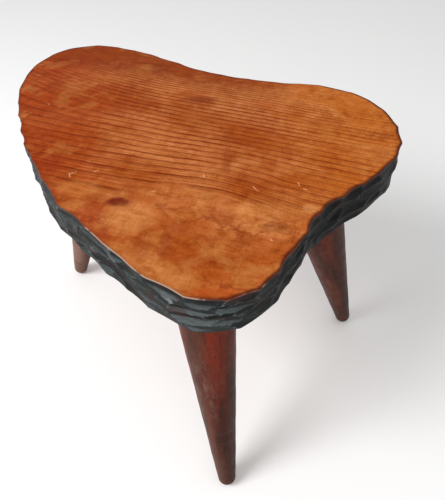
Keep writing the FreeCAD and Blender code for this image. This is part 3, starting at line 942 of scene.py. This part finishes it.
def make_leg(leg):
    """One turned leg: a ball tip, a long taper and a short straight head, all a little uneven."""
    seed, redness, fading_and_sheen = LEG_FINISH[leg]
    origin, up = leg_axis(leg)
    rise, radius = about_axis(leg, "leg_" + leg)
    low, high, head = rise.min(), rise.max(), radius.max()
    parallel = rise[radius > head - HEAD_TOLERANCE].min()
    ball = low + TIP_RADIUS
    reach = parallel - ball
    flare = math.atan2(head, reach) - math.asin(TIP_RADIUS / math.hypot(reach, head))
    profile = []
    for step in range(TIP_RINGS):
        angle = (math.pi / 2 - flare) * (step + 1) / TIP_RINGS
        profile.append((TIP_RADIUS * math.sin(angle), ball - TIP_RADIUS * math.cos(angle)))
    start_radius, start_rise = profile[-1]
    for step in range(1, LEG_RINGS + 1):
        share = step / LEG_RINGS
        size = start_radius + (head - start_radius) * share
        profile.append((size, start_rise + (parallel - start_rise) * share))
    profile.append((head, high - HEAD_ARRIS))
    profile.append((head - HEAD_ARRIS, high))

    rng = np.random.default_rng(seed)
    turn = np.linspace(0, 2 * math.pi, LEG_SIDES, endpoint=False)
    phases = rng.uniform(0, 2 * math.pi, 4)
    vertices = [(0.0, 0.0, low)]
    for size, rise_here in profile:
        share = (rise_here - low) / (high - low)
        wobble = 0.10 * np.sin(2 * turn + phases[0] + 2.0 * share)
        wobble = wobble + 0.06 * np.sin(3 * turn + phases[1] - 5 * share)
        wave = 0.12 * math.sin(9 * share * math.pi + phases[2])
        wave = wave + 0.07 * math.sin(23 * share * math.pi + phases[3])
        calm = min(1.0, share / TIP_CALM_SHARE)
        calm = calm * min(1.0, max(0.0, (parallel - rise_here) / HEAD_CALM))
        ring = size + (wobble + wave) * calm * MM
        vertices.extend(zip(ring * np.cos(turn), ring * np.sin(turn), np.full(LEG_SIDES, rise_here)))
    faces = [(0, 1 + (i + 1) % LEG_SIDES, 1 + i) for i in range(LEG_SIDES)]
    for ring in range(len(profile) - 1):
        faces.extend(ring_faces(1 + ring * LEG_SIDES, 1 + (ring + 1) * LEG_SIDES, LEG_SIDES))
    last = 1 + (len(profile) - 1) * LEG_SIDES
    faces.append(tuple(last + i for i in range(LEG_SIDES)))

    local = np.array(vertices, dtype=float)
    spin = np.array(up.to_track_quat("Z", "X").to_matrix())
    mesh = bpy.data.meshes.new("leg_%s_turned" % leg)
    mesh.from_pydata((local @ spin.T + np.array(origin)).tolist(), [], faces)
    mesh.polygons.foreach_set("use_smooth", [True] * (len(faces) - 1) + [False])
    layer = mesh.attributes.new("along_leg", "FLOAT_VECTOR", "POINT")
    layer.data.foreach_set("vector", local.astype(np.float32).ravel())
    mesh.materials.append(leg_wood(leg, seed, -low, redness, fading_and_sheen))
    mesh.validate()
    piece = bpy.data.objects.new("leg_%s_turned" % leg, mesh)
    bpy.context.scene.collection.objects.link(piece)
    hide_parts("leg_" + leg)
    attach(piece, leg + "_leg")


def finish_fittings():
    """Give the bolts, nut plates and screws, which keep their CAD shapes, their plated finish."""
    steel = zinc_steel()
    for name, node in frame["nodes"].items():
        if name == "seat" or name.startswith("leg_"):
            continue
        node.data.materials.clear()
        node.data.materials.append(steel)


# --- Stage, light and camera ----------------------------------------------------------------------

CAMERA_PLACE = (0.0271, -0.4685, 0.6095)
CAMERA_PITCH = math.radians(44.0)
CAMERA_LENS = 37.44
CAMERA_SENSOR = 36.0

FLOOR_REACH = 6.0
WORLD_STRENGTH = 0.6
LIGHT_TARGET = (0.0, 0.0, 0.25)


def make_camera():
    """A level-held camera looking down at the stool from the front."""
    data = bpy.data.cameras.new("camera")
    data.sensor_width = CAMERA_SENSOR
    data.sensor_fit = "AUTO"
    data.lens = CAMERA_LENS
    data.clip_start = 0.01
    camera = bpy.data.objects.new("camera", data)
    camera.location = CAMERA_PLACE
    camera.rotation_euler = (math.pi / 2 - CAMERA_PITCH, 0.0, 0.0)
    bpy.context.scene.collection.objects.link(camera)
    bpy.context.scene.camera = camera


def area_light(name, place, size, power):
    """A round soft white light turned to the stool: its size across in metres and its power in watts."""
    data = bpy.data.lights.new(name, "AREA")
    data.shape = "DISK"
    data.size = size
    data.energy = power
    light = bpy.data.objects.new(name, data)
    light.location = place
    light.rotation_euler = (Vector(LIGHT_TARGET) - Vector(place)).to_track_quat("-Z", "Y").to_euler()
    bpy.context.scene.collection.objects.link(light)


def make_stage():
    """A plain pale floor, an even white surround and two soft lights."""
    graph = Graph("floor_white")
    cloud = graph.noise(graph.place(), 3.0, 2.0)
    graph.set(Base_Color=graph.mix(cloud, (0.945, 0.945, 0.945), (0.965, 0.965, 0.96)))
    graph.shader.inputs["Roughness"].default_value = 0.9
    graph.shader.inputs["Specular IOR Level"].default_value = 0.1
    mesh = bpy.data.meshes.new("floor")
    far = FLOOR_REACH
    corners = [(-far, -far, 0), (far, -far, 0), (far, far, 0), (-far, far, 0)]
    mesh.from_pydata(corners, [], [(0, 1, 2, 3)])
    mesh.materials.append(graph.material)
    floor = bpy.data.objects.new("floor", mesh)
    bpy.context.scene.collection.objects.link(floor)

    world = bpy.data.worlds.new("studio")
    world.use_nodes = True
    background = world.node_tree.nodes["Background"]
    background.inputs["Color"].default_value = (1.0, 1.0, 1.0, 1.0)
    background.inputs["Strength"].default_value = WORLD_STRENGTH
    bpy.context.scene.world = world
    area_light("key", (-1.45, -0.75, 1.6), 1.1, 36.0)
    area_light("fill", (0.4, -1.8, 1.2), 1.2, 6.0)
    bpy.context.scene.view_settings.view_transform = "Standard"


make_camera()
make_stage()
make_seat()
for leg_name in LEGS:
    make_leg(leg_name)
finish_fittings()
